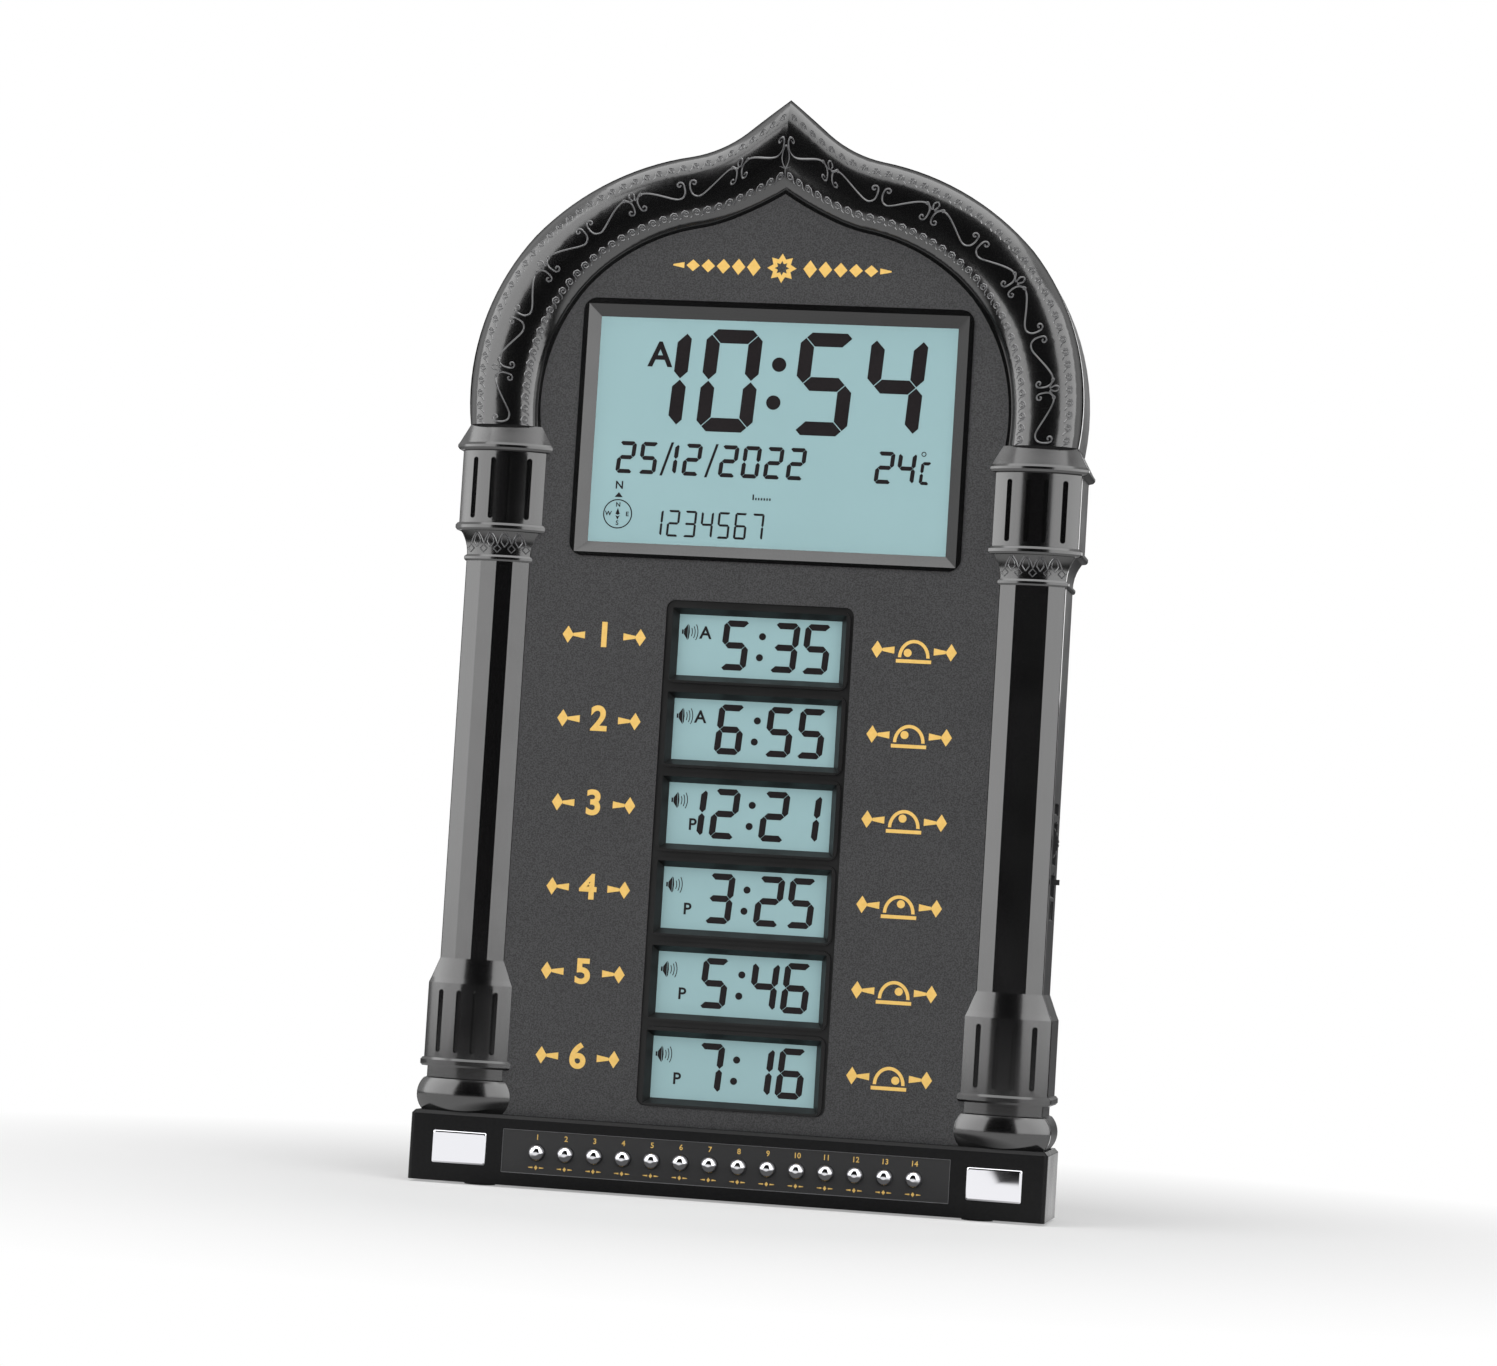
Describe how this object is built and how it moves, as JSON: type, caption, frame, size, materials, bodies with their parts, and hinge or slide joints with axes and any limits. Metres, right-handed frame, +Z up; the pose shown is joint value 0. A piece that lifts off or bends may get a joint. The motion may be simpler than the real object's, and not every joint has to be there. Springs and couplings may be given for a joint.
{
  "type": "azan clock",
  "caption": "Arch-topped prayer clock on two columns and a low base, with a large display, a stack of small displays and a row of round push buttons.",
  "frame": {"origin": "centre of the whole object's box in plan, on the table surface under the rubber feet", "axes": "+X to the right as seen from the front, +Y towards the back, +Z up; the displays face -Y"},
  "size_m": [0.2146, 0.04, 0.37],
  "materials": {
    "black_gloss": "satin black moulded plastic",
    "panel_grey": "fine-grained dark grey paint",
    "bezel_black": "gloss black",
    "lcd_glass": "grey-green display glass",
    "diffuser_white": "milky",
    "soft_black": "matte",
    "circuit_board": "green solder mask",
    "chip_black": "matte black",
    "bright_steel": "plated",
    "case_black": "fine spark texture",
    "cell_wrap": "plastic sleeve",
    "strip_grey": "dark grey satin",
    "mirror_chrome": "mirror polished",
    "button_chrome": "mirror polished",
    "cable_grey": "grey insulation"
  },
  "bodies": {
    "clock_body": {"arch_moulding": "black_gloss", "left_column": "black_gloss", "right_column": "black_gloss", "base_housing": "black_gloss", "front_panel": "panel_grey", "main_display_bezel": "bezel_black", "prayer_display_frame": "bezel_black", "main_lcd": "lcd_glass", "prayer_lcd_1": "lcd_glass", "prayer_lcd_2": "lcd_glass", "prayer_lcd_3": "lcd_glass", "prayer_lcd_4": "lcd_glass", "prayer_lcd_5": "lcd_glass", "prayer_lcd_6": "lcd_glass", "main_light_guide": "diffuser_white", "prayer_light_guides": "diffuser_white", "connector_strips": "soft_black", "rubber_feet": "soft_black", "speaker_cone": "soft_black", "main_board": "circuit_board", "prayer_board": "circuit_board", "control_board": "circuit_board", "button_board": "circuit_board", "controller_chips": "chip_black", "button_switches": "chip_black", "volume_control": "chip_black", "light_switch": "chip_black", "dc_socket": "chip_black", "board_screws": "bright_steel", "case_screws": "bright_steel", "base_screws": "bright_steel", "foot_screws": "bright_steel", "speaker_frame": "bright_steel", "battery_springs": "bright_steel", "battery_contacts": "bright_steel", "rear_case": "case_black", "battery_box": "case_black", "base_bottom": "case_black", "battery_cells": "cell_wrap", "button_plate": "strip_grey", "left_mirror_plate": "mirror_chrome", "right_mirror_plate": "mirror_chrome", "ribbon_cable": "cable_grey"},
    "exit_button": {"exit_button": "button_chrome"},
    "dst_button": {"dst_button": "button_chrome"},
    "hour_mode_button": {"hour_mode_button": "button_chrome"},
    "calendar_button": {"calendar_button": "button_chrome"},
    "snooze_button": {"snooze_button": "button_chrome"},
    "alarm_once_button": {"alarm_once_button": "button_chrome"},
    "alarm_daily_button": {"alarm_daily_button": "button_chrome"},
    "eqamah_button": {"eqamah_button": "button_chrome"},
    "sound_button": {"sound_button": "button_chrome"},
    "azan_button": {"azan_button": "button_chrome"},
    "down_button": {"down_button": "button_chrome"},
    "up_button": {"up_button": "button_chrome"},
    "set_button": {"set_button": "button_chrome"},
    "city_button": {"city_button": "button_chrome"},
    "volume_wheel": {"volume_wheel": "case_black"},
    "light_switch_lever": {"light_switch_lever": "case_black"},
    "battery_door": {"battery_door": "case_black"}
  },
  "joints": [
    {"name": "exit_press", "type": "slide", "parent": "clock_body", "child": "exit_button", "axis": [0, 1, 0], "range_m": [0, 0.0006], "stiffness_N_per_m": 800},
    {"name": "dst_press", "type": "slide", "parent": "clock_body", "child": "dst_button", "axis": [0, 1, 0], "range_m": [0, 0.0006], "stiffness_N_per_m": 800},
    {"name": "hour_mode_press", "type": "slide", "parent": "clock_body", "child": "hour_mode_button", "axis": [0, 1, 0], "range_m": [0, 0.0006], "stiffness_N_per_m": 800},
    {"name": "calendar_press", "type": "slide", "parent": "clock_body", "child": "calendar_button", "axis": [0, 1, 0], "range_m": [0, 0.0006], "stiffness_N_per_m": 800},
    {"name": "snooze_press", "type": "slide", "parent": "clock_body", "child": "snooze_button", "axis": [0, 1, 0], "range_m": [0, 0.0006], "stiffness_N_per_m": 800},
    {"name": "alarm_once_press", "type": "slide", "parent": "clock_body", "child": "alarm_once_button", "axis": [0, 1, 0], "range_m": [0, 0.0006], "stiffness_N_per_m": 800},
    {"name": "alarm_daily_press", "type": "slide", "parent": "clock_body", "child": "alarm_daily_button", "axis": [0, 1, 0], "range_m": [0, 0.0006], "stiffness_N_per_m": 800},
    {"name": "eqamah_press", "type": "slide", "parent": "clock_body", "child": "eqamah_button", "axis": [0, 1, 0], "range_m": [0, 0.0006], "stiffness_N_per_m": 800},
    {"name": "sound_press", "type": "slide", "parent": "clock_body", "child": "sound_button", "axis": [0, 1, 0], "range_m": [0, 0.0006], "stiffness_N_per_m": 800},
    {"name": "azan_press", "type": "slide", "parent": "clock_body", "child": "azan_button", "axis": [0, 1, 0], "range_m": [0, 0.0006], "stiffness_N_per_m": 800},
    {"name": "down_press", "type": "slide", "parent": "clock_body", "child": "down_button", "axis": [0, 1, 0], "range_m": [0, 0.0006], "stiffness_N_per_m": 800},
    {"name": "up_press", "type": "slide", "parent": "clock_body", "child": "up_button", "axis": [0, 1, 0], "range_m": [0, 0.0006], "stiffness_N_per_m": 800},
    {"name": "set_press", "type": "slide", "parent": "clock_body", "child": "set_button", "axis": [0, 1, 0], "range_m": [0, 0.0006], "stiffness_N_per_m": 800},
    {"name": "city_press", "type": "slide", "parent": "clock_body", "child": "city_button", "axis": [0, 1, 0], "range_m": [0, 0.0006], "stiffness_N_per_m": 800},
    {"name": "volume_turn", "type": "hinge", "parent": "clock_body", "child": "volume_wheel", "pos_m": [0.0951, 0, 0.1253], "axis": [0, 1, 0], "range_deg": [-135, 135]},
    {"name": "light_switch_slide", "type": "slide", "parent": "clock_body", "child": "light_switch_lever", "axis": [0, 0, 1], "range_m": [0, 0.002]},
    {"name": "battery_door_hinge", "type": "hinge", "parent": "clock_body", "child": "battery_door", "pos_m": [0, 0.01205, 0.0429], "axis": [-1, 0, 0], "range_deg": [0, 80]}
  ]
}
